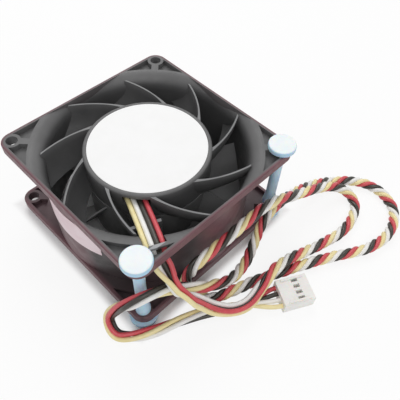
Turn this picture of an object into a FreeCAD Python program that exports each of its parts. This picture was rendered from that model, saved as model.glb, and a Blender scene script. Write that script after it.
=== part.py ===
import FreeCAD, Part

import math
import os

from FreeCAD import Placement, Rotation, Vector

# Server cooling fan. Millimetres, Z up along the fan's axis, air blown upwards.
# The mount pins' lower heads rest on z = 0. The leads come out at the front corner (-X, -Y).

# Housing
frame_side = 80.0
frame_depth = 38.0
flange_thickness = 4.0
corner_radius = 5.0
edge_round = 0.4
side_wall = 1.7
barrel_set_in = 0.2
lip_reach = 4.7
lip_depth = 6.0
rim_wall = 1.2
hole_inset = 4.25
hole_diameter = 4.5
hole_wall = 1.25
pocket_wall = 1.2
pocket_rim = 1.4
pocket_depth = 2.2
web_width = 3.0

# Motor base and guide vanes
base_radius = 24.4
base_set_in = 0.5
base_plate = 1.8
base_skirt = 1.5
base_depth = 11.5
base_edge = 0.8
label_radius = 22.8
label_thickness = 0.2
label_clearance = 0.15
label_depth_play = 0.05
base_boss_radius = 8.0
base_boss_length = 7.0
sticker_low = 18.5
sticker_height = 13.0
sticker_thickness = 0.15
sticker_first_angle = 162.0
sticker_angle = 41.0
vane_count = 9
vane_first_angle = -126.7
vane_sweep = 47.0
vane_lean = 12.0
vane_edge_thickness = 0.65
vane_low_thickness = 1.1
vane_root_flare = 1.1
vane_end_radius = 39.4
vane_height = 11.0
vane_set_in = 1.0

# Leads and the corner they leave through
lead_diameter = 1.8
lead_pitch = 1.9
lead_exit_angle = -140.0
lead_exit_height = 35.5
lead_inside_radius = 17.5
lead_slot_along_x = 8.3
lead_slot_along_y = 0.25
lead_slot_width = 7.9
lead_slot_before = 2.3
lead_slot_after = 1.7
lead_drop = 4.6
lead_rest = 8.8
lead_play = 0.15
strut_width = 4.6
strut_thickness = 1.6
crossbar_reach = 9.3
crossbar_length = 11.0
crossbar_width = 1.2
hook_width = 1.3
hook_thickness = 1.1
hook_free = 2.4
hook_root = 2.7

# Impeller
blade_count = 7
tip_clearance = 0.8
rotor_clearance = 1.0
hub_radius = 24.4
hub_wall = 1.4
hub_front = 1.8
hub_nose = 3.0
hub_front_height = 4.5
blade_low = 5.5
blade_high = 26.0
blade_hub_angle = 50.0
blade_tip_angle = 38.0
blade_thickness = 1.8
blade_camber = 0.09

# Motor
yoke_wall = 1.2
yoke_set_in = 0.4
magnet_thickness = 2.4
magnet_low = 9.5
magnet_height = 16.0
air_clearance = 0.4
core_low = 12.5
core_height = 10.0
core_ring_radius = 8.2
pole_count = 4
pole_width = 5.0
shoe_thickness = 2.2
slot_opening = 3.0
insulator_thickness = 0.8
insulator_rim = 3.4
insulator_set_in = 0.4
insulator_shoe = 2.0
insulator_wall = 0.8
insulator_side = 0.35
collar_build = 0.6
collar_overlap = 0.3
coil_to_collar = 0.8
coil_to_shoe = 1.2
coil_side_build = 2.6
coil_end_build = 2.4
coil_round = 2.0
fit_clearance = 0.05
post_radius = 1.3
post_set_in = 1.6
board_thickness = 1.2
board_clearance = 1.3
board_hole_clearance = 0.3
board_notch_width = 4.0
board_notch_depth = 1.2
board_to_rotor = 1.4
hall_width = 4.0
hall_height = 1.3
hall_behind = 2.6
hall_ahead = 0.6
chip_length = 6.0
chip_width = 5.0
chip_height = 1.5
chip_lift = 0.15
chip_leg_pitch = 1.27
chip_leg_width = 0.5
chip_leg_height = 0.3
chip_span = 7.2
can_radius = 2.0
can_height = 4.9
can_foot_side = 4.2
can_foot_height = 0.5

# Shaft and bearings
shaft_diameter = 3.0
bearing_outer_diameter = 8.0
bearing_width = 4.0
bearing_ring_wall = 0.85
ball_diameter = 1.3
ball_count = 7
shield_thickness = 0.2
cage_height = 1.5
cage_wall = 0.3
sleeve_wall = 1.2
sleeve_shoulder = 0.6
bearing_set_in = 1.0
lower_bearing_low = 11.0
bush_radius = 4.5
spring_height = 0.8
clip_thickness = 0.5
clip_radius = 2.9

# Mount pins
pin_head_diameter = 10.8
pin_lower_head = 2.0
pin_upper_head = 2.2
pin_hole_clearance = 0.1
pin_shank_diameter = 4.2
pin_barb_diameter = 5.7
pin_barb_length = 7.0
pin_head_edge = 0.7

# Cable and connector
cable_diameter = 4.35
cable_bend_share = 0.45
contact_pitch = 2.54
connector_length = 12.5
connector_wall = 1.7
contact_size = 1.7
contact_wall = 0.25
cavity_clearance = 0.15

# Cable route, chosen by hand to follow the loops: over its own end, round the inner loop,
# along the fan's side, round the outer loop, past the front pin and back to the connector.
cable_points = [
    (-28.0, -43.0, 27.6), (-26.0, -46.5, 24.0), (-22.0, -51.0, 16.0), (-18.0, -55.0, 10.0),
    (-13.0, -59.5, 7.4), (-6.5, -62.0, 7.2), (1.0, -60.6, 7.4), (10.5, -59.2, 7.6),
    (20.0, -60.2, 6.8), (32.5, -63.2, 3.0), (47.5, -66.8, 2.3), (60.0, -66.0, 2.3),
    (68.5, -62.0, 2.3), (70.0, -54.0, 4.0), (61.5, -49.6, 7.5), (48.5, -46.6, 12.5),
    (36.0, -44.6, 17.5), (23.5, -42.8, 23.0), (9.0, -42.7, 22.8), (-5.0, -42.8, 23.0),
    (-14.0, -42.8, 24.0), (-18.2, -41.2, 17.5), (-19.5, -40.6, 9.6), (-18.0, -45.0, 5.2),
    (-13.5, -50.0, 2.5), (-5.0, -53.0, 2.3), (4.5, -56.0, 2.3), (15.0, -60.9, 2.3),
    (25.5, -65.6, 2.3), (37.0, -71.6, 2.3), (48.5, -79.0, 2.3), (62.0, -82.0, 2.3),
    (75.0, -77.5, 2.3), (81.0, -66.0, 2.3), (77.5, -54.5, 2.3), (66.5, -46.0, 3.0),
    (54.0, -42.4, 7.0), (41.0, -41.4, 10.5), (30.5, -41.4, 11.8), (22.5, -42.6, 9.4),
    (16.0, -45.0, 4.6), (9.0, -47.8, 2.3), (-1.0, -49.6, 2.4), (-11.5, -48.0, 8.2),
    (-21.0, -45.4, 16.2), (-29.0, -42.2, 22.6), (-36.5, -41.4, 26.5), (-42.0, -38.4, 23.5),
    (-44.8, -32.5, 14.5), (-47.4, -29.4, 6.3), (-49.3, -35.4, 2.3), (-44.8, -40.2, 2.3),
    (-38.0, -44.0, 2.3), (-28.5, -47.4, 2.3), (-17.5, -52.4, 2.3), (-8.0, -59.4, 2.3),
    (-0.6, -64.0, 3.1), (5.4, -67.2, 3.1),
]

# Heights and radii that follow from the values above
half_side = frame_side / 2
flange_low = pin_lower_head
frame_top = flange_low + frame_depth
bore_radius = half_side - side_wall
barrel_radius = half_side - barrel_set_in
lip_radius = bore_radius + lip_reach
hole_offset = half_side - hole_inset
hole_radius = hole_diameter / 2
hole_boss_radius = hole_radius + hole_wall
base_top = frame_top - base_set_in
plate_under = base_top - base_plate
base_low = base_top - base_depth
label_recess = label_thickness + label_depth_play
vane_high = frame_top - vane_set_in
vane_low = vane_high - vane_height
rotor_top = vane_low - rotor_clearance
tip_radius = bore_radius - tip_clearance
hub_inside = hub_front_height + hub_front
yoke_radius = hub_radius - hub_wall
yoke_inner = yoke_radius - yoke_wall
magnet_inner = yoke_inner - magnet_thickness
core_radius = magnet_inner - air_clearance
core_high = core_low + core_height
shaft_radius = shaft_diameter / 2
bearing_radius = bearing_outer_diameter / 2
inner_ring_radius = shaft_radius + bearing_ring_wall
outer_ring_bore = bearing_radius - bearing_ring_wall
ball_pitch_radius = (inner_ring_radius + outer_ring_bore) / 2
sleeve_radius = bearing_radius + sleeve_wall
sleeve_high = plate_under
upper_bearing_low = sleeve_high - bearing_set_in - bearing_width
bush_top = lower_bearing_low - spring_height
insulator_radius = core_radius - insulator_set_in
collar_radius = core_ring_radius + collar_build
coil_inner_reach = collar_radius + coil_to_collar
coil_outer_reach = insulator_radius - insulator_shoe - coil_to_shoe
board_low = rotor_top + board_to_rotor
board_high = board_low + board_thickness
board_radius = base_radius - base_skirt - board_clearance
part_radius = (sleeve_radius + board_radius) / 2
lead_radius = lead_diameter / 2
lead_height = frame_top - hook_thickness - lead_radius - lead_play
connector_width = 4 * contact_pitch + 0.9
connector_height = 2 * cable_points[-1][2]


def cylinder(radius, low, high, x=0.0, y=0.0):
    return Part.makeCylinder(radius, high - low, Vector(x, y, low))


def ring(outer, inner, low, high, x=0.0, y=0.0):
    return cylinder(outer, low, high, x, y).cut(cylinder(inner, low - 1, high + 1, x, y))


def block(x_low, x_high, y_low, y_high, low, high):
    size = (x_high - x_low, y_high - y_low, high - low)
    return Part.makeBox(*size, Vector(x_low, y_low, low))


def turned(shape, degrees):
    copy = shape.copy()
    copy.rotate(Vector(0, 0, 0), Vector(0, 0, 1), degrees)
    return copy


def around(shape, count, first=0.0):
    return [turned(shape, first + 360.0 * i / count) for i in range(count)]


def fused(shapes):
    return shapes[0].multiFuse(shapes[1:]).removeSplitter()


def revolved(edges, x=0.0, y=0.0):
    """Turns a closed outline in the XZ plane about Z."""
    face = Part.Face(Part.Wire(edges))
    solid = face.revolve(Vector(0, 0, 0), Vector(0, 0, 1), 360)
    solid.translate(Vector(x, y, 0))
    return solid


def outline(points):
    """Edges of a closed outline in the XZ plane. A third number rounds that corner."""
    flat = [Vector(point[0], 0, point[1]) for point in points]
    count = len(points)
    edges = []
    ends = []
    for i, point in enumerate(points):
        corner = flat[i]
        if len(point) < 3:
            ends.append((corner, corner))
            continue
        before = (flat[i - 1] - corner).normalize()
        after = (flat[(i + 1) % count] - corner).normalize()
        half = before.getAngle(after) / 2
        reach = point[2] / math.tan(half)
        middle = (before + after).normalize()
        tip = corner + middle * (point[2] / math.sin(half) - point[2])
        start = corner + before * reach
        end = corner + after * reach
        edges.append(Part.Arc(start, tip, end).toShape())
        ends.append((start, end))
    for i in range(count):
        start = ends[i][1]
        end = ends[(i + 1) % count][0]
        if start.distanceToPoint(end) > 1e-6:
            edges.append(Part.LineSegment(start, end).toShape())
    return Part.sortEdges(edges)[0]


def rounded_square(half, radius, low, high):
    """Flange plate with round corners and softened outer edges."""
    square = block(-half, half, -half, half, low, high)
    upright = [edge for edge in square.Edges if abs(edge.BoundBox.ZLength - (high - low)) < 1e-6]
    plate = square.makeFillet(radius, upright)
    level = [edge for edge in plate.Edges if edge.BoundBox.ZLength < 1e-6]
    return plate.makeFillet(edge_round, level)


def spline(points):
    curve = Part.BSplineCurve()
    curve.interpolate(points)
    return curve.toShape()


def strip_wire(first_side, second_side):
    """Closed wire of two curved sides joined by straight ends."""
    return Part.Wire([
        spline(first_side),
        Part.LineSegment(first_side[-1], second_side[-1]).toShape(),
        spline(list(reversed(second_side))),
        Part.LineSegment(second_side[0], first_side[0]).toShape(),
    ])


def tube(points, diameter):
    """Round tube along straight runs joined by tangent arcs."""
    corners = [Vector(*point) for point in points]
    edges = []
    start = corners[0]
    for before, corner, after in zip(corners, corners[1:], corners[2:]):
        back = (before - corner).normalize()
        on = (after - corner).normalize()
        half_turn = (math.pi - back.getAngle(on)) / 2
        shorter = min(before.distanceToPoint(corner), after.distanceToPoint(corner))
        reach = cable_bend_share * shorter
        radius = reach / math.tan(half_turn)
        middle = (back + on).normalize()
        tip = corner + middle * (radius / math.cos(half_turn) - radius)
        edges.append(Part.LineSegment(start, corner + back * reach).toShape())
        edges.append(Part.Arc(corner + back * reach, tip, corner + on * reach).toShape())
        start = corner + on * reach
    edges.append(Part.LineSegment(start, corners[-1]).toShape())
    path = Part.Wire(edges)
    section = Part.Wire([Part.makeCircle(diameter / 2, corners[0], corners[1] - corners[0])])
    return path.makePipeShell([section], True, False)


# Housing

def bell_mouth(bore_end, face):
    """Flare from the bore to a face, kept inside the square rim."""
    step = face - bore_end
    round_radius = (lip_depth ** 2 + lip_reach ** 2) / (2 * lip_reach)
    half_turn = math.atan2(lip_reach, lip_depth)
    half_way = Vector(bore_radius + round_radius * (1 - math.cos(half_turn)), 0,
                      bore_end + math.copysign(round_radius, step) * math.sin(half_turn))
    curve = Part.Arc(Vector(bore_radius, 0, bore_end), half_way, Vector(lip_radius, 0, face))
    beyond = face + math.copysign(1.0, step)
    corners = [(lip_radius, face), (lip_radius, beyond), (0, beyond), (0, bore_end), (bore_radius, bore_end)]
    edges = [curve.toShape()]
    for a, b in zip(corners, corners[1:]):
        edges.append(Part.LineSegment(Vector(a[0], 0, a[1]), Vector(b[0], 0, b[1])).toShape())
    flare = revolved(edges)
    inside = half_side - rim_wall
    low, high = sorted((bore_end, beyond))
    return flare.common(block(-inside, inside, -inside, inside, low - 1, high + 1))


def duct():
    bore = cylinder(bore_radius, flange_low - 1, frame_top + 1)
    lower = bell_mouth(flange_low + lip_depth, flange_low)
    upper = bell_mouth(frame_top - lip_depth, frame_top)
    return bore.fuse(lower).fuse(upper)


def corner_pocket(low, high):
    """Hollows on both sides of a mount hole, for the corner (+X, +Y)."""
    reach = half_side - pocket_rim
    pocket = block(0, reach, 0, reach, low, high)
    pocket = pocket.cut(cylinder(lip_radius + pocket_wall, low - 1, high + 1))
    pocket = pocket.cut(cylinder(hole_boss_radius, low - 1, high + 1, hole_offset, hole_offset))
    web = block(0, 2 * half_side, -web_width / 2, web_width / 2, low - 1, high + 1)
    return pocket.cut(turned(web, 45))


def lead_frame():
    """Placement with X along the leads, Y across them and its origin over the slot."""
    angle = math.radians(lead_exit_angle)
    entry = Vector(base_radius * math.cos(angle), base_radius * math.sin(angle), 0)
    slot = Vector(lead_slot_along_x - hole_offset, lead_slot_along_y - hole_offset, 0)
    along = slot - entry
    turn = math.degrees(math.atan2(along.y, along.x))
    return Placement(slot, Rotation(Vector(0, 0, 1), turn)), along.Length


def lead_slope():
    return (lead_height - lead_exit_height) / (lead_frame()[1] - lead_rest)


def along_leads(shape):
    shape.Placement = lead_frame()[0].multiply(shape.Placement)
    return shape


def fan_housing():
    plates = []
    holes = []
    pockets = []
    for low in (flange_low, frame_top - flange_thickness):
        high = low + flange_thickness
        plates.append(rounded_square(half_side, corner_radius, low, high))
        hole = cylinder(hole_radius, low - 1, high + 1, hole_offset, hole_offset)
        holes += around(hole, 4)
        pockets += around(corner_pocket(high - pocket_depth, high + 1), 4)
    lap = flange_thickness / 2
    body = fused(plates + [cylinder(barrel_radius, flange_low + lap, frame_top - lap)])
    body = body.cut(Part.makeCompound(holes + pockets))
    body = body.cut(duct())
    half_slot = lead_slot_width / 2
    floor = lead_height - lead_radius - lead_play
    channel = block(-lead_rest, 0, -half_slot, half_slot, floor, frame_top + 1)
    low = frame_top - flange_thickness - 1
    slot = block(-lead_slot_before, lead_slot_after, -half_slot, half_slot, low, frame_top + 1)
    body = body.cut(along_leads(channel)).cut(along_leads(slot))
    hook = block(-hook_width / 2, hook_width / 2, -hook_free, half_slot + hook_root,
                 frame_top - hook_thickness, frame_top)
    return body.fuse(along_leads(hook)).removeSplitter()


def vane_section(height, turn, thickness):
    """Outline of a guide vane at one height, along a logarithmic spiral."""
    sides = ([], [])
    reach = lip_radius + 1.0
    start = base_radius - 1.2
    for share in (0.0, 0.1, 0.25, 0.5, 0.75, 1.0):
        radius = start + (reach - start) * share
        angle = math.tan(math.radians(vane_sweep)) * math.log(radius / base_radius)
        angle += math.radians(turn)
        lean = angle + math.radians(vane_sweep + 90)
        flare = max(0.0, 1 - share / 0.25) ** 2
        half = (thickness + vane_root_flare * flare) / 2
        centre = Vector(radius * math.cos(angle), radius * math.sin(angle), height)
        across = Vector(math.cos(lean), math.sin(lean), 0) * half
        sides[0].append(centre + across)
        sides[1].append(centre - across)
    return strip_wire(*sides)


def guide_vanes():
    between = (vane_low_thickness + vane_edge_thickness) / 2
    levels = [(vane_low, vane_lean, vane_low_thickness),
              (vane_low + 0.4 * vane_height, 0.3 * vane_lean, between),
              (vane_high, 0.0, vane_edge_thickness)]
    raw = Part.makeLoft([vane_section(*level) for level in levels], True, False)
    inside = duct().cut(cylinder(base_radius, vane_low - 9, frame_top + 2))
    strut_room = inside.common(ring(lip_radius + 2, base_radius, vane_low - 1, frame_top))
    vane_room = inside.common(ring(vane_end_radius, base_radius, vane_low - 1, frame_top))
    pieces = []
    for vane in around(raw, vane_count, vane_first_angle):
        pieces += vane.common(vane_room).Solids
    length = lead_frame()[1]
    top = lead_exit_height - lead_radius - lead_play
    strut = block(-length - 3, 0, -strut_width / 2, strut_width / 2, top - strut_thickness, top)
    bar_top = top + lead_slope() * crossbar_reach
    bar = block(crossbar_reach - length, crossbar_reach + crossbar_width - length,
                -crossbar_length / 2, crossbar_length / 2, top - strut_thickness, bar_top)
    support = along_leads(strut).fuse(along_leads(bar))
    pieces += support.common(strut_room).Solids
    return Part.makeCompound(pieces)


def motor_base():
    inside = base_radius - base_skirt
    recess = label_radius + label_clearance
    cup = revolved(outline([
        (base_radius, base_low), (base_radius, base_top, base_edge), (recess, base_top),
        (recess, base_top - label_recess), (bearing_radius + 0.4, base_top - label_recess),
        (bearing_radius + 0.4, sleeve_high), (sleeve_radius, sleeve_high),
        (sleeve_radius, plate_under - base_boss_length), (base_boss_radius, plate_under - base_boss_length),
        (base_boss_radius, plate_under), (inside, plate_under), (inside, base_low),
    ]))
    length = lead_frame()[1]
    half = lead_slot_width / 2 + 4 * lead_play
    low = lead_exit_height - lead_radius - 6 * lead_play
    window = block(-length - 5, 6 - length, -half, half, low, plate_under)
    return cup.cut(along_leads(window))


def hub_label():
    low = base_top - label_recess
    return cylinder(label_radius, low, low + label_thickness)


def side_sticker():
    low = flange_low + sticker_low
    high = low + sticker_height
    paper = Part.makeCylinder(barrel_radius + sticker_thickness, sticker_height, Vector(0, 0, low),
                              Vector(0, 0, 1), sticker_angle)
    return turned(paper, sticker_first_angle).cut(cylinder(barrel_radius, low - 1, high + 1))


# Impeller and rotor

def blade_section(reach, angle):
    """Cambered blade outline in a plane across the blade, at one distance from the axis."""
    slope = math.radians(angle)
    height = blade_high - blade_low
    chord = height / math.sin(slope)
    middle = Vector(reach, 0, (blade_low + blade_high) / 2)
    along = Vector(0, math.cos(slope), math.sin(slope))
    across = Vector(0, math.sin(slope), -math.cos(slope))
    sides = ([], [])
    for share, thick in ((0.0, 0.45), (0.12, 0.85), (0.35, 1.0), (0.65, 0.8), (1.0, 0.4)):
        bow = 4 * blade_camber * chord * share * (1 - share) * (1.25 - 0.5 * share)
        centre = middle + along * (chord * (share - 0.5)) + across * bow
        half = across * (blade_thickness * thick / 2)
        sides[0].append(centre + half)
        sides[1].append(centre - half)
    return strip_wire(*sides)


def impeller():
    cup = revolved(outline([
        (0, hub_front_height), (hub_radius, hub_front_height, hub_nose), (hub_radius, rotor_top),
        (yoke_radius, rotor_top), (yoke_radius, hub_inside), (0, hub_inside),
    ]))
    stations = [hub_radius * 0.8, (hub_radius + tip_radius) / 2, tip_radius + 1.0]
    angles = [blade_hub_angle, (blade_hub_angle + blade_tip_angle) / 2, blade_tip_angle]
    raw = Part.makeLoft([blade_section(*pair) for pair in zip(stations, angles)], True, False)
    trimmed = raw.common(ring(tip_radius, hub_radius - 0.5, blade_low - 4, blade_high + 4))
    return fused([cup] + around(trimmed, blade_count, 12.0))


def rotor_yoke():
    top = rotor_top - yoke_set_in
    inside = hub_inside + yoke_wall
    return revolved(outline([
        (bush_radius - 1, hub_inside), (yoke_radius, hub_inside), (yoke_radius, top),
        (yoke_inner, top), (yoke_inner, inside), (bush_radius - 1, inside),
    ]))


def magnet_ring():
    return ring(yoke_inner, magnet_inner, magnet_low, magnet_low + magnet_height)


def shaft_bush():
    foot = hub_inside + yoke_wall
    bush = cylinder(bush_radius - 1, hub_inside, foot).fuse(cylinder(bush_radius, foot, bush_top))
    return bush.cut(cylinder(shaft_radius, hub_inside - 1, bush_top + 1)).removeSplitter()


def shaft():
    groove = sleeve_high - bearing_set_in + fit_clearance
    neck = shaft_radius - 0.3
    end = groove + clip_thickness + 0.9
    return revolved(outline([
        (0, hub_inside), (shaft_radius, hub_inside), (shaft_radius, groove), (neck, groove),
        (neck, groove + clip_thickness), (shaft_radius, groove + clip_thickness),
        (shaft_radius, end, 0.3), (0, end),
    ]))


def retaining_clip():
    low = sleeve_high - bearing_set_in + fit_clearance
    clip = ring(clip_radius, shaft_radius - 0.3, low, low + clip_thickness)
    return clip.cut(block(0, 4, -0.9, 0.9, low - 1, low + 2))


def preload_spring():
    """Conical disc between the bush and the lower bearing's inner ring."""
    low = bush_top
    high = lower_bearing_low
    return revolved(outline([
        (shaft_radius + 0.15, high - 0.3), (shaft_radius + 0.15, high), (inner_ring_radius - 0.15, high),
        (bush_radius - 0.5, low + 0.3), (bush_radius - 0.5, low), (bush_radius - 1.1, low),
        (inner_ring_radius - 0.3, high - 0.3),
    ]))


# Bearings

def bearing(low):
    """Outer ring, inner ring, cage, balls and shields of one bearing."""
    high = low + bearing_width
    middle = (low + high) / 2
    groove = Part.makeTorus(ball_pitch_radius, ball_diameter / 2 + 0.03, Vector(0, 0, middle))
    outer = ring(bearing_radius, outer_ring_bore, low, high).cut(groove)
    inner = ring(inner_ring_radius, shaft_radius, low, high).cut(groove)
    ball = Part.makeSphere(ball_diameter / 2, Vector(ball_pitch_radius, 0, middle))
    room = Part.makeCylinder(ball_diameter / 2 + 0.04, 4, Vector(0, 0, middle), Vector(1, 0, 0))
    cage = ring(ball_pitch_radius + cage_wall / 2, ball_pitch_radius - cage_wall / 2,
                middle - cage_height / 2, middle + cage_height / 2)
    cage = cage.cut(Part.makeCompound(around(room, ball_count)))
    shields = [ring(outer_ring_bore, inner_ring_radius + 0.12, low + 0.1, low + 0.1 + shield_thickness),
               ring(outer_ring_bore, inner_ring_radius + 0.12, high - 0.1 - shield_thickness, high - 0.1)]
    return {
        "outer_ring": outer,
        "inner_ring": inner,
        "cage": cage,
        "balls": Part.makeCompound(around(ball, ball_count)),
        "shields": Part.makeCompound(shields),
    }


def bearing_sleeve():
    low = lower_bearing_low - 0.2
    body = ring(sleeve_radius, bearing_radius - sleeve_shoulder, low, sleeve_high)
    body = body.cut(cylinder(bearing_radius, low - 1, lower_bearing_low + bearing_width))
    return body.cut(cylinder(bearing_radius, upper_bearing_low, sleeve_high + 1))


# Stator

def pole_star(low, high, ring_radius, width, shoe_inner, shoe_outer):
    """Round centre, arms and outer shoes, as punched from sheet."""
    shoes = ring(shoe_outer, shoe_inner, low, high)
    gaps = [turned(block(0, shoe_outer + 2, -slot_opening / 2, slot_opening / 2, low - 1, high + 1), angle)
            for angle in (45, 135, 225, 315)]
    reach = (shoe_inner + shoe_outer) / 2
    arms = [block(-reach, reach, -width / 2, width / 2, low, high),
            block(-width / 2, width / 2, -reach, reach, low, high)]
    star = fused([shoes.cut(Part.makeCompound(gaps)), cylinder(ring_radius, low, high)] + arms)
    return star.cut(cylinder(sleeve_radius, low - 1, high + 1))


def stator_core():
    shoe_inside = core_radius - shoe_thickness
    return pole_star(core_low, core_high, core_ring_radius, pole_width, shoe_inside, core_radius)


def insulator(face, side):
    """Insulating plate on one face of the core, with rims that hold the coils."""
    far = face + side * insulator_thickness
    rim = face + side * insulator_rim
    outer = insulator_radius
    plate = pole_star(min(face, far), max(face, far), collar_radius, pole_width + 2 * insulator_side,
                      outer - insulator_shoe, outer)
    low, high = min(face, rim), max(face, rim)
    gaps = [turned(block(0, outer + 2, -slot_opening / 2, slot_opening / 2, low - 1, high + 1), angle)
            for angle in (45, 135, 225, 315)]
    walls = ring(outer, outer - insulator_wall, low, high).cut(Part.makeCompound(gaps))
    collar = ring(collar_radius, core_ring_radius - collar_overlap, low, high)
    return fused([plate, walls, collar])


def upper_insulator():
    post = cylinder(post_radius, core_high + insulator_thickness, board_low, core_radius - post_set_in, 0)
    return fused([insulator(core_high, 1.0)] + around(post, pole_count))


def windings():
    half_width = pole_width / 2 + insulator_side + fit_clearance
    half_height = core_height / 2 + insulator_thickness + fit_clearance
    middle = core_low + core_height / 2
    wide = half_width + coil_side_build
    tall = half_height + coil_end_build
    solid = block(coil_inner_reach, coil_outer_reach, -wide, wide, middle - tall, middle + tall)
    lengthwise = [edge for edge in solid.Edges if edge.BoundBox.XLength > 1]
    solid = solid.makeFillet(coil_round, lengthwise)
    hollow = block(0, core_radius, -half_width, half_width, middle - half_height, middle + half_height)
    return Part.makeCompound(around(solid.cut(hollow), pole_count))


def circuit_board():
    board = ring(board_radius, sleeve_radius + board_hole_clearance, board_low, board_high)
    half = board_notch_width / 2
    notch = block(board_radius - board_notch_depth, base_radius, -half, half, board_low - 1, board_high + 1)
    return board.cut(Part.makeCompound(around(notch, 3, 30)))


def hall_sensor():
    half = hall_width / 2
    body = block(core_radius - hall_behind, core_radius + hall_ahead, -half, half,
                 board_low - hall_height, board_low)
    return turned(body, 45)


def driver_chip():
    low = board_high + chip_lift
    start = part_radius - chip_length / 2
    body = block(start, start + chip_length, -chip_width / 2, chip_width / 2, low, low + chip_height)
    legs = []
    for i in range(4):
        x = part_radius + (i - 1.5) * chip_leg_pitch - chip_leg_width / 2
        legs.append(block(x, x + chip_leg_width, -chip_span / 2, chip_span / 2,
                          board_high, board_high + chip_leg_height))
    return turned(fused([body] + legs), 60)


def capacitors():
    seat = board_high + can_foot_height
    half = can_foot_side / 2
    can = cylinder(can_radius, seat, seat + can_height, part_radius, 0)
    foot = block(part_radius - half, part_radius + half, -half, half, board_high, seat)
    capacitor = fused([can, foot])
    return Part.makeCompound([turned(capacitor, -20), turned(capacitor, 150)])


# Leads, cable and connector

def cable_start():
    """Plane across the cable's first run, as a block that lies beyond it."""
    start = Vector(*cable_points[0])
    along = Vector(*cable_points[1]) - start
    beyond = Part.makeBox(20, 20, 10, Vector(-10, -10, 0))
    beyond.Placement = Placement(start, Rotation(Vector(0, 0, 1), along))
    return beyond


def lead(index):
    """One lead from the board, out over the strut, down the slot and into the bundle."""
    place, length = lead_frame()
    offset = (index - 1.5) * lead_pitch
    start = Vector(*cable_points[0])
    inner = length + base_radius - lead_inside_radius
    inside_height = lead_height - lead_slope() * (inner - lead_rest)
    over = place.multVec(Vector(-lead_rest, offset, lead_height))
    top = place.multVec(Vector(0, offset, lead_height))
    board = place.multVec(Vector(-inner, offset, board_high))
    bend = place.multVec(Vector(-inner, offset, inside_height))
    slot = place.Base
    low = Vector(slot.x + offset, slot.y - 0.1, lead_height - lead_drop)
    axis = start - Vector(slot.x, slot.y - 0.1, lead_height - lead_drop)
    along = Vector(axis).normalize()
    side = (Vector(1, 0, 0) - along * along.x).normalize()
    lift = side.cross(along)
    half = lead_pitch / 2
    spread = ((-2.8, -0.85), (-1.15, 0.85), (1.15, 0.85), (2.8, -0.85))[index]
    close = ((-1, -1), (-1, 1), (1, 1), (1, -1))[index]
    half_way = start - axis * 0.5 + (side * spread[0] + lift * spread[1]) * half
    end = start + along + (side * close[0] + lift * close[1]) * half
    points = [board, bend, over, top, low, half_way, end]
    return tube([tuple(point) for point in points], lead_diameter).cut(cable_start())


def cable():
    return tube(cable_points, cable_diameter)


def at_cable_end(shape):
    end = Vector(*cable_points[-1])
    along = end - Vector(*cable_points[-2])
    turn = math.degrees(math.atan2(along.y, along.x))
    shape.Placement = Placement(Vector(end.x, end.y, 0), Rotation(Vector(0, 0, 1), turn))
    return shape


def contact_rows():
    return [(i - 1.5) * contact_pitch for i in range(4)]


def connector_housing():
    half = connector_width / 2
    body = block(0, connector_length, -half, half, 0, connector_height)
    lengthwise = [edge for edge in body.Edges if edge.BoundBox.XLength > 1]
    body = body.makeFillet(0.5, lengthwise)
    room = contact_size / 2 + cavity_clearance
    middle = connector_height / 2
    cuts = []
    for y in contact_rows():
        cuts.append(block(connector_wall, connector_length + 1, y - room, y + room,
                          middle - room, middle + room))
        cuts.append(block(6.0, 8.6, y - 0.7, y + 0.7, middle, connector_height + 1))
    body = body.cut(Part.makeCompound(cuts))
    ribs = [block(2.0, connector_length - 1.5, y - 0.4, y + 0.4,
                  connector_height - 0.2, connector_height + 0.6)
            for y in (-half + 0.9, half - 0.9)]
    return at_cable_end(fused([body] + ribs))


def connector_contacts():
    middle = connector_height / 2
    half = contact_size / 2
    thin = half - contact_wall
    contacts = []
    for y in contact_rows():
        box = block(connector_wall, connector_length - 1.0, y - half, y + half, middle - half, middle + half)
        hollow = block(connector_wall + 2.5, connector_length, y - thin, y + thin,
                       middle - thin, middle + thin)
        contacts.append(box.cut(hollow))
    return at_cable_end(Part.makeCompound(contacts))


# Mount pins

def mount_pin(x, y):
    head = pin_head_diameter / 2
    neck = hole_radius - pin_hole_clearance
    shank = pin_shank_diameter / 2
    barb = pin_barb_diameter / 2
    low_face = flange_low + flange_thickness
    high_face = frame_top - flange_thickness
    barb_end = low_face + pin_barb_length
    pin = revolved(outline([
        (0, 0), (head, 0, pin_head_edge), (head, flange_low, pin_head_edge / 2), (neck, flange_low),
        (neck, low_face), (barb, low_face), (barb, low_face + 2), (shank, barb_end), (shank, high_face - 2),
        (neck, high_face), (neck, frame_top), (head, frame_top, pin_head_edge / 2),
        (head, frame_top + pin_upper_head, pin_head_edge), (0, frame_top + pin_upper_head),
    ]))
    slit = block(0.6, barb + 1, -0.4, 0.4, low_face + 0.5, barb_end - 1)
    mark = Part.makeCylinder(0.9, 2, Vector(0, 0, high_face - 6), Vector(1, 0, 0))
    mark.translate(Vector(shank - 0.4, 0, 0))
    cuts = [turned(slit, -20), turned(mark, -45)]
    for cut in cuts:
        cut.translate(Vector(x, y, 0))
    return pin.translated(Vector(x, y, 0)).cut(Part.makeCompound(cuts))


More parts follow.
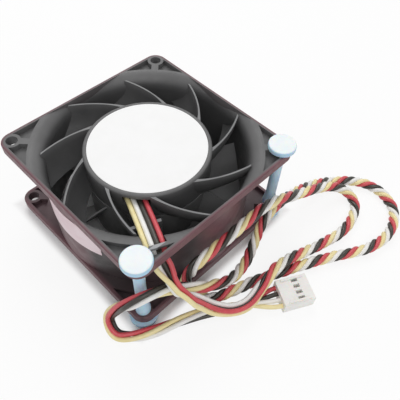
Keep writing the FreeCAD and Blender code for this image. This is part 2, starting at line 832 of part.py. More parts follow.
def all_parts():
    parts = {
        "fan_housing": fan_housing(),
        "guide_vanes": guide_vanes(),
        "motor_base": motor_base(),
        "hub_label": hub_label(),
        "side_sticker": side_sticker(),
        "impeller": impeller(),
        "rotor_yoke": rotor_yoke(),
        "magnet_ring": magnet_ring(),
        "shaft_bush": shaft_bush(),
        "shaft": shaft(),
        "retaining_clip": retaining_clip(),
        "preload_spring": preload_spring(),
        "bearing_sleeve": bearing_sleeve(),
        "stator_core": stator_core(),
        "upper_insulator": upper_insulator(),
        "lower_insulator": insulator(core_low, -1.0),
        "windings": windings(),
        "circuit_board": circuit_board(),
        "hall_sensor": hall_sensor(),
        "driver_chip": driver_chip(),
        "capacitors": capacitors(),
        "cable": cable(),
        "connector_housing": connector_housing(),
        "connector_contacts": connector_contacts(),
        "front_mount_pin": mount_pin(-hole_offset, -hole_offset),
        "right_mount_pin": mount_pin(hole_offset, -hole_offset),
    }
    for place, low in (("upper", upper_bearing_low), ("lower", lower_bearing_low)):
        for name, shape in bearing(low).items():
            parts[place + "_" + name] = shape
    for index, colour in enumerate(("yellow", "white", "black", "red")):
        parts["lead_" + colour] = lead(index)
    return parts


os.makedirs("parts", exist_ok=True)
for name, shape in all_parts().items():
    print(name, "solids", len(shape.Solids), "volume %.1f" % shape.Volume, "valid", shape.isValid())
    shape.exportStep("parts/" + name + ".step")
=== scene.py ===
import math

import bpy
from mathutils import Matrix, Vector


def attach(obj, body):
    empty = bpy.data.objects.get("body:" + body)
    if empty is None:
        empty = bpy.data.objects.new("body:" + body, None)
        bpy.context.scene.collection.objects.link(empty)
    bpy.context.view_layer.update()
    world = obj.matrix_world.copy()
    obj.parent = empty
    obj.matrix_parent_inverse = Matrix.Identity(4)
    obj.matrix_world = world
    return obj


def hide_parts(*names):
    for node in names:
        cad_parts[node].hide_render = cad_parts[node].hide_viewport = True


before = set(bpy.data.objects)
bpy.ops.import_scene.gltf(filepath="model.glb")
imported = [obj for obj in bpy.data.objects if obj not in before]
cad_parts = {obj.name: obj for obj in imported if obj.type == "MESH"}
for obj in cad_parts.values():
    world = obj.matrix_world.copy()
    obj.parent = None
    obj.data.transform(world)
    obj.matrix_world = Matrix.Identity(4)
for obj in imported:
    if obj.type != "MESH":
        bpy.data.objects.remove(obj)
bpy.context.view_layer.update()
scene = bpy.context.scene


# Camera, as fitted to the photograph. Angles in degrees, lengths in millimetres.

MM = 0.001
CAMERA_AZIMUTH = -47.53
CAMERA_ELEVATION = 53.0
CAMERA_ROLL = 3.29
CAMERA_DISTANCE = 192.8
CAMERA_FOCUS_PIXELS = 473.6
PICTURE_PIXELS = 400
SENSOR_WIDTH = 36.0
AIM_HEIGHT = 21.0
AIM_RIGHT = 20.28
AIM_UP = -9.55
CLIP_START = 5.0
CLIP_END = 20000.0


def make_camera():
    azimuth = math.radians(CAMERA_AZIMUTH)
    elevation = math.radians(CAMERA_ELEVATION)
    roll = math.radians(CAMERA_ROLL)
    back = Vector((math.sin(azimuth) * math.cos(elevation),
                   -math.cos(azimuth) * math.cos(elevation),
                   math.sin(elevation)))
    level = Vector((math.cos(azimuth), math.sin(azimuth), 0.0))
    tall = back.cross(level)
    right = level * math.cos(roll) + tall * math.sin(roll)
    up = tall * math.cos(roll) - level * math.sin(roll)
    aim = Vector((0, 0, AIM_HEIGHT)) + right * AIM_RIGHT + up * AIM_UP
    data = bpy.data.cameras.new("camera")
    data.sensor_width = SENSOR_WIDTH
    data.lens = CAMERA_FOCUS_PIXELS / PICTURE_PIXELS * SENSOR_WIDTH
    data.clip_start = CLIP_START * MM
    data.clip_end = CLIP_END * MM
    camera = bpy.data.objects.new("camera", data)
    scene.collection.objects.link(camera)
    place = (aim + back * CAMERA_DISTANCE) * MM
    turn = Matrix((right, up, back)).transposed().to_4x4()
    camera.matrix_world = Matrix.Translation(place) @ turn
    scene.camera = camera


make_camera()


# Materials. From here on lengths are in metres, reliefs in micrometres, and the scales of
# patches and grain in waves to the metre.

MICROMETRE = 0.000001
PATCH_DETAIL = 3.0
GRAIN_DETAIL = 2.0
NOISE_ROUGHNESS = 0.55
COLOUR_SPAN = (0.35, 0.65)
GLOSS_SPAN = (0.3, 0.7)
GLOSS_TO_PATCH = 3.7


class Nodes:
    """A node tree with a few short ways to add nodes."""

    def __init__(self, tree):
        self.tree = tree

    def add(self, kind):
        return self.tree.nodes.new("ShaderNode" + kind)

    def link(self, start, end):
        self.tree.links.new(start, end)

    def math(self, operation, first, second=None):
        node = self.add("Math")
        node.operation = operation
        for socket, value in zip(node.inputs, (first, second)):
            if isinstance(value, (int, float)):
                socket.default_value = value
            elif value is not None:
                self.link(value, socket)
        return node.outputs["Value"]

    def fade(self, factor, span, start, end):
        """From start to end, smoothly, while the factor goes through the span."""
        node = self.add("MapRange")
        node.interpolation_type = "SMOOTHSTEP"
        names = ("From Min", "From Max", "To Min", "To Max")
        for name, value in zip(names, (*span, start, end)):
            node.inputs[name].default_value = value
        self.link(factor, node.inputs["Value"])
        return node.outputs["Result"]

    def seen(self):
        """One for what shows, straight, mirrored or through a clear face, zero for other light."""
        rays = self.add("LightPath").outputs
        shown = self.math("MAXIMUM", rays["Is Camera Ray"], rays["Is Glossy Ray"])
        return self.math("MAXIMUM", shown, rays["Is Transmission Ray"])


class Shader(Nodes):
    """A material. Its coordinates are the object's own."""

    def __init__(self, name):
        self.material = bpy.data.materials.new(name)
        self.material.use_nodes = True
        super().__init__(self.material.node_tree)
        self.body = self.tree.nodes["Principled BSDF"]
        self.place = self.add("TexCoord").outputs["Object"]

    def split(self, vector):
        node = self.add("SeparateXYZ")
        self.link(vector, node.inputs["Vector"])
        return [node.outputs[axis] for axis in "XYZ"]

    def axes(self):
        return self.split(self.place)

    def upward(self):
        """One on level faces that look up, zero on walls."""
        return self.split(self.add("NewGeometry").outputs["Normal"])[2]

    def length(self, first, second):
        squares = [self.math("MULTIPLY", value, value) for value in (first, second)]
        return self.math("SQRT", self.math("ADD", *squares))

    def noise(self, scale, detail=PATCH_DETAIL, stretch=None):
        node = self.add("TexNoise")
        node.inputs["Scale"].default_value = scale
        node.inputs["Detail"].default_value = detail
        node.inputs["Roughness"].default_value = NOISE_ROUGHNESS
        place = self.place
        if stretch:
            mapping = self.add("Mapping")
            mapping.inputs["Scale"].default_value = stretch
            self.link(place, mapping.inputs["Vector"])
            place = mapping.outputs["Vector"]
        self.link(place, node.inputs["Vector"])
        return node.outputs["Fac"]

    def ramp(self, factor, first, second):
        node = self.add("ValToRGB")
        elements = node.color_ramp.elements
        for element, position, colour in zip(elements, COLOUR_SPAN, (first, second)):
            element.position = position
            element.color = (*colour, 1)
        self.link(factor, node.inputs["Fac"])
        return node.outputs["Color"]

    def mix(self, factor, first, second):
        node = self.add("Mix")
        node.data_type = "RGBA"
        self.link(factor, node.inputs["Factor"])
        self.link(first, node.inputs["A"])
        self.link(second, node.inputs["B"])
        return node.outputs["Result"]

    def colour(self, output):
        self.link(output, self.body.inputs["Base Color"])

    def surface(self, gloss, gloss_patch, grain, relief, stretch=None):
        """An uneven gloss, and grain in relief of this depth."""
        uneven = self.fade(self.noise(gloss_patch), GLOSS_SPAN, *gloss)
        self.link(uneven, self.body.inputs["Roughness"])
        node = self.add("Bump")
        node.inputs["Strength"].default_value = 1.0
        node.inputs["Distance"].default_value = relief * MICROMETRE
        self.link(self.noise(grain, GRAIN_DETAIL, stretch), node.inputs["Height"])
        self.link(node.outputs["Normal"], self.body.inputs["Normal"])

    def set(self, **values):
        for name, value in values.items():
            self.body.inputs[name.replace("_", " ")].default_value = value


def varied(name, first, second, gloss, patch, grain, relief, stretch=None, **values):
    """Two close colours in soft patches, with an uneven gloss and grain in relief."""
    shader = Shader(name)
    shader.colour(shader.ramp(shader.noise(patch, stretch=stretch), first, second))
    shader.surface(gloss, patch * GLOSS_TO_PATCH, grain, relief, stretch)
    shader.set(**values)
    return shader.material


# The housing's colours, two close ones for each: the plain moulding, a paler top that is painted
# light from above, a painted highlight, a painted red reflection, and painted shade with red
# reflection in patches
PLAIN = ((0.082, 0.082, 0.083), (0.101, 0.100, 0.101))
PAINTED_TOP_LIGHT = ((0.125, 0.124, 0.125), (0.152, 0.151, 0.152))
PAINTED_HIGHLIGHT = ((0.330, 0.336, 0.345), (0.400, 0.406, 0.412))
RED_REFLECTION = ((0.150, 0.072, 0.083), (0.185, 0.092, 0.105))
BARREL_SHADE_AND_REFLECTION = ((0.040, 0.034, 0.035), (0.105, 0.065, 0.072))
HOUSING_PATCH = 70.0
SHADE_AND_REFLECTION_PATCH = 26.0
SHADE_AND_REFLECTION_DETAIL = 1.0

# Where they change. Each span is the stretch in which one fades into the next, measured from
# the fan's axis, from the middle of a flange's corner or up from the floor.
OUTLET_HEIGHTS = (0.0355, 0.0392)
UPPER_FLANGE_HEIGHTS = (0.0357, 0.0361)
LOWER_FLANGE_HEIGHTS = (0.0039, 0.0043)
BARREL_TOP_HEIGHTS = (0.0352, 0.0362)
BARREL_RADII = (0.0390, 0.0396)
SIDE_REACH = (0.0375, 0.0397)
SIDE_REFLECTION_SHARE = 0.75
CORNER_CENTRE = 0.035
RIM_REACH = (0.0036, 0.0047)

# The lead hook, which slants across its slot, and the upper edges of the guide vanes, which both
# get a painted highlight
HOOK_SLOT = (-0.02745, -0.0355)
HOOK_SLANT = 0.074
HOOK_SIDES = (0.00065, 0.00075)
HOOK_ENDS = (0.0030, 0.0042)
HOOK_UNDERSIDE = (0.0386, 0.0388)
VANE_EDGE_LEVEL = (0.80, 0.93)
VANE_EDGE_HIGHLIGHT = 0.3

# The pins' heads, which look up and stand well over the floor, and their tops, paler as painted
# light
PIN_BLUE = ((0.44, 0.68, 0.865), (0.55, 0.755, 0.905))
PIN_LIT_TOP = ((0.84, 0.91, 0.93), (0.89, 0.93, 0.94))
PIN_PATCH = 160.0
PIN_HEAD_LEVEL = (0.5, 0.95)
PIN_HEAD_HEIGHTS = (0.010, 0.030)


def hook_highlight(shader):
    """One on the lead hook, where a highlight is painted, zero elsewhere."""
    x, y, z = shader.axes()
    from_slot = shader.math("SUBTRACT", x, HOOK_SLOT[0])
    across = shader.math("ADD", shader.math("SUBTRACT", y, HOOK_SLOT[1]),
                         shader.math("MULTIPLY", from_slot, HOOK_SLANT))
    beside = shader.fade(shader.math("ABSOLUTE", across), HOOK_SIDES, 1.0, 0.0)
    along = shader.fade(shader.math("ABSOLUTE", from_slot), HOOK_ENDS, 1.0, 0.0)
    above = shader.fade(z, HOOK_UNDERSIDE, 0.0, 1.0)
    return shader.math("MULTIPLY", above, shader.math("MULTIPLY", beside, along))


def vane_edge_highlight(shader):
    """A little on the vanes' upper edges, where a highlight is painted, zero on their faces."""
    return shader.fade(shader.upward(), VANE_EDGE_LEVEL, 0.0, VANE_EDGE_HIGHLIGHT)


def housing_plastic(name, highlight_mask):
    """Charcoal moulding, paler towards the outlet, which is painted light from above, and paler
    again where the highlight mask is one, which is a painted highlight.

    The rims have a brown-red cast, which is a painted red reflection, and so has the barrel, less
    and in patches, where shade is painted too.
    """
    shader = Shader(name)
    x, y, z = shader.axes()
    from_middle = [shader.math("ABSOLUTE", place) for place in (x, y)]
    past_corner = [shader.math("MAXIMUM", shader.math("SUBTRACT", place, CORNER_CENTRE), 0.0)
                   for place in from_middle]
    flanges = shader.math("MAXIMUM", shader.fade(z, UPPER_FLANGE_HEIGHTS, 0.0, 1.0),
                          shader.fade(z, LOWER_FLANGE_HEIGHTS, 1.0, 0.0))
    rim = shader.math("MULTIPLY", flanges,
                      shader.fade(shader.length(*past_corner), RIM_REACH, 0.0, 1.0))
    outside = shader.math("MULTIPLY", shader.fade(shader.length(x, y), BARREL_RADII, 0.0, 1.0),
                          shader.fade(z, BARREL_TOP_HEIGHTS, 1.0, 0.0))
    towards_side = shader.fade(shader.math("MAXIMUM", *from_middle), SIDE_REACH, 0.0, SIDE_REFLECTION_SHARE)
    patches = shader.noise(HOUSING_PATCH)
    # Painted red reflection, for the rims and the barrel's sides
    red_reflection = shader.ramp(patches, *RED_REFLECTION)
    # Painted shade with red reflection, in patches, for the barrel
    shade_and_reflection = shader.ramp(shader.noise(SHADE_AND_REFLECTION_PATCH, SHADE_AND_REFLECTION_DETAIL), *BARREL_SHADE_AND_REFLECTION)
    # Painted light: paler towards the outlet, as if lit from above
    inside = shader.mix(shader.fade(z, OUTLET_HEIGHTS, 0.0, 1.0),
                        shader.ramp(patches, *PLAIN), shader.ramp(patches, *PAINTED_TOP_LIGHT))
    # The barrel: painted shade and red reflection in patches, with more painted red reflection
    # towards the sides
    barrel = shader.mix(towards_side, shade_and_reflection, red_reflection)
    moulding_and_painted_light = shader.mix(rim, shader.mix(outside, inside, barrel), red_reflection)
    # Painted highlight where the highlight mask is one
    shader.colour(shader.mix(highlight_mask(shader), moulding_and_painted_light, shader.ramp(patches, *PAINTED_HIGHLIGHT)))
    shader.surface(gloss=(0.36, 0.50), gloss_patch=260.0, grain=3000.0, relief=12)
    shader.set(Specular_IOR_Level=0.25)
    return shader.material


def pin_elastomer(name):
    """Soft pale-blue elastomer, paler on the tops of the heads, which is painted light."""
    shader = Shader(name)
    # Painted light: paler on the upward faces of the upper heads
    lit_top = shader.math("MULTIPLY", shader.fade(shader.upward(), PIN_HEAD_LEVEL, 0.0, 1.0),
                        shader.fade(shader.axes()[2], PIN_HEAD_HEIGHTS, 0.0, 1.0))
    patches = shader.noise(PIN_PATCH)
    shader.colour(shader.mix(lit_top, shader.ramp(patches, *PIN_BLUE),
                             shader.ramp(patches, *PIN_LIT_TOP)))
    shader.surface(gloss=(0.38, 0.50), gloss_patch=600.0, grain=1500.0, relief=8)
    shader.set(Subsurface_Weight=0.25, Subsurface_Scale=0.002)
    return shader.material


# In each row: two close colours, the roughness from glossy to dull, the scales of patches and
# grain, the depth of the grain, and for some a stretch of the pattern
LOOKS = {
    # The rotor is lighter than the housing's charcoal: painted light for the shaded inside of the
    # fan
    "rotor_plastic": ((0.145, 0.145, 0.146), (0.170, 0.169, 0.170), (0.34, 0.46), 120, 2200, 10),
    "label_paper": ((0.925, 0.925, 0.92), (0.94, 0.94, 0.94), (0.58, 0.70), 90, 1800, 4),
    "sticker_paper": ((0.74, 0.56, 0.605), (0.83, 0.685, 0.72), (0.36, 0.50), 55, 420, 40,
                      (1, 1, 2)),
    "yellow_insulation": ((0.87, 0.74, 0.36), (0.91, 0.80, 0.45), (0.30, 0.42), 300, 3000, 3),
    "white_insulation": ((0.86, 0.85, 0.82), (0.92, 0.91, 0.89), (0.30, 0.42), 300, 3000, 3),
    "black_insulation": ((0.030, 0.027, 0.021), (0.048, 0.042, 0.033), (0.28, 0.40), 300, 3000, 3),
    "red_insulation": ((0.60, 0.066, 0.084), (0.68, 0.092, 0.110), (0.30, 0.42), 300, 3000, 3),
    "magnet": ((0.055, 0.052, 0.050), (0.075, 0.071, 0.068), (0.50, 0.65), 160, 2400, 12),
    "insulator_plastic": ((0.70, 0.67, 0.58), (0.77, 0.74, 0.65), (0.40, 0.55), 120, 2200, 10),
    "board": ((0.020, 0.14, 0.055), (0.030, 0.19, 0.075), (0.30, 0.45), 300, 2500, 10),
    "chip": ((0.018, 0.018, 0.019), (0.028, 0.028, 0.029), (0.45, 0.60), 300, 3000, 10),
}
NYLON_LOOK = ((0.86, 0.85, 0.81), (0.91, 0.90, 0.87), (0.36, 0.50), 200, 2000, 8)
METAL_LOOKS = {
    "contact_tin": ((0.70, 0.69, 0.67), (0.80, 0.79, 0.77), (0.28, 0.42), 500, 4000, 4),
    "yoke_steel": ((0.50, 0.50, 0.50), (0.58, 0.58, 0.57), (0.32, 0.46), 140, 2600, 6),
    "bush_brass": ((0.74, 0.54, 0.25), (0.82, 0.62, 0.31), (0.26, 0.40), 240, 2600, 5),
    "bearing_steel": ((0.66, 0.66, 0.66), (0.74, 0.74, 0.73), (0.14, 0.26), 220, 3000, 3),
    "cage_steel": ((0.56, 0.55, 0.53), (0.64, 0.63, 0.61), (0.26, 0.40), 300, 3000, 4),
    "spring_steel": ((0.44, 0.44, 0.45), (0.52, 0.52, 0.52), (0.22, 0.36), 260, 2600, 4),
    "core_steel": ((0.40, 0.40, 0.41), (0.50, 0.50, 0.50), (0.34, 0.50), 200, 1500, 20, (1, 1, 3)),
    "copper": ((0.60, 0.24, 0.11), (0.72, 0.32, 0.16), (0.26, 0.40), 400, 2500, 30),
    "can": ((0.72, 0.72, 0.72), (0.80, 0.80, 0.79), (0.20, 0.34), 300, 3000, 4),
}

MATERIALS = {
    "housing_plastic": housing_plastic("housing_plastic", hook_highlight),
    "vane_plastic": housing_plastic("vane_plastic", vane_edge_highlight),
    "pin_elastomer": pin_elastomer("pin_elastomer"),
    "connector_nylon": varied("connector_nylon", *NYLON_LOOK, Subsurface_Weight=0.15,
                              Subsurface_Scale=0.001),
}
for name, look in LOOKS.items():
    MATERIALS[name] = varied(name, *look)
for name, look in METAL_LOOKS.items():
    MATERIALS[name] = varied(name, *look, Metallic=1.0)

LEAD_COLOURS = ("yellow", "white", "black", "red")
NODE_MATERIALS = {
    "fan_housing": "housing_plastic",
    "guide_vanes": "vane_plastic",
    "motor_base": "housing_plastic",
    "hub_label": "label_paper",
    "side_sticker": "sticker_paper",
    "front_mount_pin": "pin_elastomer",
    "right_mount_pin": "pin_elastomer",
    "connector_housing": "connector_nylon",
    "connector_contacts": "contact_tin",
    "impeller": "rotor_plastic",
    "rotor_yoke": "yoke_steel",
    "magnet_ring": "magnet",
    "shaft_bush": "bush_brass",
    "shaft": "bearing_steel",
    "retaining_clip": "spring_steel",
    "preload_spring": "spring_steel",
    "bearing_sleeve": "bush_brass",
    "stator_core": "core_steel",
    "upper_insulator": "insulator_plastic",
    "lower_insulator": "insulator_plastic",
    "windings": "copper",
    "circuit_board": "board",
    "hall_sensor": "chip",
    "driver_chip": "chip",
    "capacitors": "can",
}
for side in ("upper", "lower"):
    for piece in ("outer_ring", "inner_ring", "balls"):
        NODE_MATERIALS[side + "_" + piece] = "bearing_steel"
    for piece in ("cage", "shields"):
        NODE_MATERIALS[side + "_" + piece] = "cage_steel"
for colour in LEAD_COLOURS:
    NODE_MATERIALS["lead_" + colour] = colour + "_insulation"

for node, material in NODE_MATERIALS.items():
    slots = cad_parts[node].data.materials
    slots.clear()
    slots.append(MATERIALS[material])


# Cable strands

# The route: the given points of the part's source. Two differ at the start, to leave the
# leads in line, and five at the end of the inner loop, to follow the photograph.
CABLE_POINTS = [
    (-0.0280, -0.0430, 0.0276), (-0.0281, -0.0446, 0.0265), (-0.0274, -0.0473, 0.0236),
    (-0.0220, -0.0510, 0.0160), (-0.0180, -0.0550, 0.0100), (-0.0130, -0.0595, 0.0074),
    (-0.0065, -0.0620, 0.0072), (0.0010, -0.0606, 0.0074), (0.0105, -0.0592, 0.0076),
    (0.0200, -0.0602, 0.0068), (0.0325, -0.0632, 0.0030), (0.0475, -0.0668, 0.0023),
    (0.0558, -0.0663, 0.0023), (0.0639, -0.0637, 0.0023), (0.0681, -0.0580, 0.0030),
    (0.0660, -0.0519, 0.0050), (0.0581, -0.0485, 0.0088), (0.0485, -0.0466, 0.0125),
    (0.0360, -0.0446, 0.0175), (0.0235, -0.0428, 0.0230), (0.0090, -0.0427, 0.0228),
    (-0.0050, -0.0428, 0.0230), (-0.0140, -0.0428, 0.0240), (-0.0182, -0.0412, 0.0175),
    (-0.0195, -0.0406, 0.0096), (-0.0180, -0.0450, 0.0052), (-0.0135, -0.0500, 0.0025),
    (-0.0050, -0.0530, 0.0023), (0.0045, -0.0560, 0.0023), (0.0150, -0.0609, 0.0023),
    (0.0255, -0.0656, 0.0023), (0.0370, -0.0716, 0.0023), (0.0485, -0.0790, 0.0023),
    (0.0620, -0.0820, 0.0023), (0.0750, -0.0775, 0.0023), (0.0810, -0.0660, 0.0023),
    (0.0775, -0.0545, 0.0023), (0.0665, -0.0460, 0.0030), (0.0540, -0.0424, 0.0070),
    (0.0410, -0.0414, 0.0105), (0.0305, -0.0414, 0.0118), (0.0225, -0.0426, 0.0094),
    (0.0160, -0.0450, 0.0046), (0.0090, -0.0478, 0.0023), (-0.0010, -0.0496, 0.0024),
    (-0.0115, -0.0480, 0.0082), (-0.0210, -0.0454, 0.0162), (-0.0290, -0.0422, 0.0226),
    (-0.0365, -0.0414, 0.0265), (-0.0420, -0.0384, 0.0235), (-0.0448, -0.0325, 0.0145),
    (-0.0474, -0.0294, 0.0063), (-0.0493, -0.0354, 0.0023), (-0.0448, -0.0402, 0.0023),
    (-0.0380, -0.0440, 0.0023), (-0.0285, -0.0474, 0.0023), (-0.0175, -0.0524, 0.0023),
    (-0.0080, -0.0594, 0.0023), (-0.0006, -0.0640, 0.0031), (0.0054, -0.0672, 0.0031),
]
LEAD_RADIUS = 0.0009
LEAD_HALF_PITCH = 0.00095
SPLINE_ORDER = 3
SPLINE_RESOLUTION = 24
STRAND_STEP = 0.0007
STRAND_SIDES = 12

# Turns in each metre, from place to place: close in the loops, slack near both ends
TURN_RATES = [
    (0.000, 0), (0.044, 0), (0.060, 64), (0.130, 72), (0.157, 52), (0.212, 50), (0.237, 60),
    (0.287, 78), (0.377, 78), (0.437, 62), (0.467, 12), (0.497, 18), (0.527, 16), (0.557, 8),
    (0.597, 8),
]

# Twisted, the leads stand in a square. Near the fan it opens into a ribbon: its corners are
# eased from the square's angle to the curl, and closed again from a place on, over a length.
RIBBON_PLACES = (0, 3, 2, 1)
RIBBON_OPEN = 0.015
NEAR_CLOSE = (0.016, 0.016)
FAR_CLOSE = (0.040, 0.020)
SQUARE_ANGLE = 90
RIBBON_CURL = 10.0
RIBBON_SHIFTS = ((0.0, 0.0), (0.0002, 0.0), (-0.0003, -0.0012), (-0.0011, 0.0))
START_HEADING = -92.4

# Strands reach back into their leads, which lie a little further apart, and are thinner there
LEAD_SPREAD = (-0.0003, 0.0, 0.0, 0.0003)
LEAD_EASE = 0.0012
LEAD_OVERLAP = 0.0013
OVERLAP_RADIUS_SHARE = 0.85

# The twist is uneven by a little, and at its end the strands fan out to the contacts
LOOSENESS = 0.00006
LOOSENESS_RUN = 0.031
FAN_OUT = 0.017
CONTACT_PITCH = 0.00254
MIDDLE_CONTACT = 1.5
CONNECTOR_INSIDE = 0.0004


def cable_line():
    """Points along the cable's centreline, read from one smooth curve near the listed points."""
    curve = bpy.data.curves.new("cable_line", "CURVE")
    curve.dimensions = "3D"
    curve.resolution_u = SPLINE_RESOLUTION
    spline = curve.splines.new("NURBS")
    spline.points.add(len(CABLE_POINTS) - 1)
    for point, place in zip(spline.points, CABLE_POINTS):
        point.co = (*place, 1.0)
    spline.order_u = SPLINE_ORDER
    spline.use_endpoint_u = True
    holder = bpy.data.objects.new("cable_line", curve)
    mesh = bpy.data.meshes.new_from_object(holder)
    points = [vertex.co.copy() for vertex in mesh.vertices]
    bpy.data.meshes.remove(mesh)
    bpy.data.objects.remove(holder)
    bpy.data.curves.remove(curve)
    return points


def even_steps(points, step):
    """The same line with its points an even distance apart, and that distance."""
    lengths = [0.0]
    for first, second in zip(points, points[1:]):
        lengths.append(lengths[-1] + (second - first).length)
    count = round(lengths[-1] / step)
    line = []
    at = 0
    for i in range(count + 1):
        want = lengths[-1] * i / count
        while at < len(points) - 2 and lengths[at + 1] < want:
            at += 1
        share = (want - lengths[at]) / (lengths[at + 1] - lengths[at])
        line.append(points[at].lerp(points[at + 1], share))
    return line, lengths[-1] / count


def directions(line):
    """The line's direction at each of its points."""
    ahead = [second - first for first, second in zip(line, line[1:])]
    between = [first + second for first, second in zip(ahead, ahead[1:])]
    return [direction.normalized() for direction in [ahead[0], *between, ahead[-1]]]


def carried(first_side, along):
    """A side direction carried along the line without turning round it."""
    sides = [first_side]
    for before, after in zip(along, along[1:]):
        turn = before.rotation_difference(after)
        side = turn @ sides[-1]
        sides.append((side - after * side.dot(after)).normalized())
    return sides


def level_left(direction):
    """The level direction to the left of this one."""
    return Vector((0, 0, 1)).cross(direction).normalized()


def smooth(share):
    """The share held between zero and one, with a soft start and end."""
    share = min(1.0, max(0.0, share))
    return share * share * (3 - 2 * share)


def turn_rate(distance):
    for (start, first), (end, second) in zip(TURN_RATES, TURN_RATES[1:]):
        if distance <= end:
            return first + (second - first) * (distance - start) / (end - start)
    return TURN_RATES[-1][1]


def bundle_places(distance, turns):
    """Places of the four leads across the cable: a square that opens into a ribbon near the fan."""
    opened = smooth(distance / RIBBON_OPEN)
    near = opened * (1 - smooth((distance - NEAR_CLOSE[0]) / NEAR_CLOSE[1]))
    far = opened * (1 - smooth((distance - FAR_CLOSE[0]) / FAR_CLOSE[1]))
    heading = START_HEADING * (1 - opened) - 360 * turns
    bends = (SQUARE_ANGLE + (RIBBON_CURL - SQUARE_ANGLE) * near, 0,
             (SQUARE_ANGLE - RIBBON_CURL) * far - SQUARE_ANGLE)
    places = [Vector((0, 0))]
    for bend in bends:
        angle = math.radians(heading + bend)
        ahead = Vector((math.cos(angle), math.sin(angle)))
        places.append(places[-1] + ahead * 2 * LEAD_HALF_PITCH)
    middle = sum(places, Vector((0, 0))) / len(places)
    return [place - middle + Vector(shift) * far for place, shift in zip(places, RIBBON_SHIFTS)]


def strand_lines():
    """The cable's centreline, and the centreline of each of its strands."""
    line, step = even_steps(cable_line(), STRAND_STEP)
    along = directions(line)
    length = step * (len(line) - 1)
    gathered = round(sum(FAR_CLOSE) / step)
    sides = [level_left(direction) for direction in along[:gathered]]
    sides += carried(sides[-1], along[gathered - 1:])[1:]
    end_side = level_left(along[-1])
    strands = [[] for _ in LEAD_COLOURS]
    turns = 0.0
    for i, centre in enumerate(line):
        distance = step * i
        turns += turn_rate(distance) * step
        places = bundle_places(distance, turns)
        lift = along[i].cross(sides[i])
        spread = smooth(1 - (length - distance) / FAN_OUT)
        across = (end_side - along[i] * end_side.dot(along[i])).normalized()
        for index, strand in enumerate(strands):
            place = places[RIBBON_PLACES[index]]
            wave = math.sin(2 * math.pi * distance / LOOSENESS_RUN + index)
            loose = 1 + LOOSENESS / LEAD_HALF_PITCH * wave
            converging = LEAD_SPREAD[index] * math.exp(-distance / LEAD_EASE)
            bundled = (sides[i] * place.x + lift * place.y) * loose + sides[i] * converging
            fanned = across * (index - MIDDLE_CONTACT) * CONTACT_PITCH
            strand.append(centre + bundled.lerp(fanned, spread))
    for strand in strands:
        strand.insert(0, strand[0] - (strand[1] - strand[0]).normalized() * LEAD_OVERLAP)
        strand.append(strand[-1] + along[-1] * CONNECTOR_INSIDE)
    return line, strands


def tube_mesh(name, lines, radius, start_share, sides, materials):
    """One mesh with a closed round tube along each line, thinner at its start.

    Each tube has its own material.
    """
    places = []
    faces = []
    slots = []
    for slot, line in enumerate(lines):
        along = directions(line)
        across = carried(along[0].orthogonal().normalized(), along)
        first = len(places)
        for i, (centre, direction, side) in enumerate(zip(line, along, across)):
            lift = direction.cross(side)
            reach = radius * (1.0 if i else start_share)
            for k in range(sides):
                angle = 2 * math.pi * k / sides
                outward = side * math.cos(angle) + lift * math.sin(angle)
                places.append(centre + outward * reach)
        for i in range(len(line) - 1):
            low = first + i * sides
            high = low + sides
            for k in range(sides):
                following = (k + 1) % sides
                faces.append((low + k, low + following, high + following, high + k))
        last = first + (len(line) - 1) * sides
        faces.append(tuple(range(first + sides - 1, first - 1, -1)))
        faces.append(tuple(range(last, last + sides)))
        slots += [slot] * (len(faces) - len(slots))
    mesh = bpy.data.meshes.new(name)
    mesh.from_pydata(places, [], faces)
    for material in materials:
        mesh.materials.append(material)
    mesh.polygons.foreach_set("material_index", slots)
    mesh.polygons.foreach_set("use_smooth", [True] * len(faces))
    mesh.update()
    piece = bpy.data.objects.new(name, mesh)
    scene.collection.objects.link(piece)
    return piece


cable_path, strands = strand_lines()
cable_strands = tube_mesh("cable_strands", strands, LEAD_RADIUS, OVERLAP_RADIUS_SHARE, STRAND_SIDES,
                          [MATERIALS[colour + "_insulation"] for colour in LEAD_COLOURS])
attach(cable_strands, "stator")
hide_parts("cable")


# Floor and light

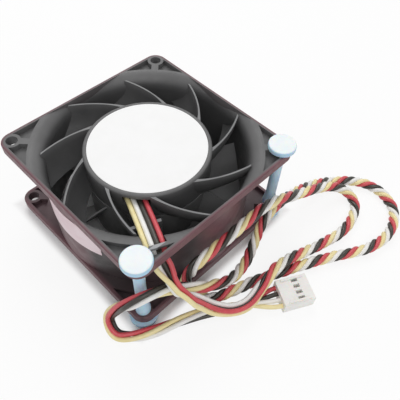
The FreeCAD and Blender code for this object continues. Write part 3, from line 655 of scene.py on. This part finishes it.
FLOOR_COLOURS = ((0.93, 0.93, 0.93), (0.95, 0.95, 0.95))
FLOOR_PATCH = 2.0
FLOOR_ROUGHNESS = 0.9
FLOOR_SIZE = 8.0
FLOOR_DROP = 0.0001
FLOOR_GLOW = 0.85
GLOW_START = (0.0405, 0.0445)
WORLD_LIGHT = 0.55
WORLD_SEEN = 1.0
LAMP_AIM = (0, 0, 0.02)


def make_floor():
    """A floor that glows white where it is seen, but not under the fan, where it stays dark."""
    shader = Shader("floor")
    shader.colour(shader.ramp(shader.noise(FLOOR_PATCH), *FLOOR_COLOURS))
    shader.set(Roughness=FLOOR_ROUGHNESS)
    from_middle = [shader.math("ABSOLUTE", place) for place in shader.axes()[:2]]
    clear = shader.fade(shader.math("MAXIMUM", *from_middle), GLOW_START, 0.0, FLOOR_GLOW)
    white = shader.add("Emission")
    white.inputs["Strength"].default_value = 1.0
    mixed = shader.add("MixShader")
    shader.link(shader.math("MULTIPLY", shader.seen(), clear), mixed.inputs["Fac"])
    shader.link(shader.body.outputs["BSDF"], mixed.inputs[1])
    shader.link(white.outputs["Emission"], mixed.inputs[2])
    shader.link(mixed.outputs["Shader"], shader.tree.nodes["Material Output"].inputs["Surface"])
    bpy.ops.mesh.primitive_plane_add(size=FLOOR_SIZE, location=(0, 0, -FLOOR_DROP))
    floor = bpy.context.object
    floor.name = "floor"
    floor.data.materials.append(shader.material)


def make_world():
    """A soft even light that shows as plain white."""
    world = bpy.data.worlds.new("world")
    scene.world = world
    world.use_nodes = True
    sky = Nodes(world.node_tree)
    back = sky.tree.nodes["Background"]
    back.inputs["Color"].default_value = (1, 1, 1, 1)
    sky.link(sky.fade(sky.seen(), (0.0, 1.0), WORLD_LIGHT, WORLD_SEEN), back.inputs["Strength"])


def area_lamp(name, place, size, power):
    data = bpy.data.lights.new(name, "AREA")
    data.shape = "DISK"
    data.size = size
    data.energy = power
    lamp = bpy.data.objects.new(name, data)
    scene.collection.objects.link(lamp)
    lamp.location = place
    lamp.rotation_euler = (Vector(LAMP_AIM) - Vector(place)).to_track_quat("-Z", "Y").to_euler()


make_floor()
make_world()
area_lamp("back_softbox", place=(0.26, 0.34, 0.62), size=0.5, power=1.95)
area_lamp("front_fill", place=(-0.28, -0.40, 0.62), size=0.4, power=1.2)
scene.view_settings.view_transform = "Standard"
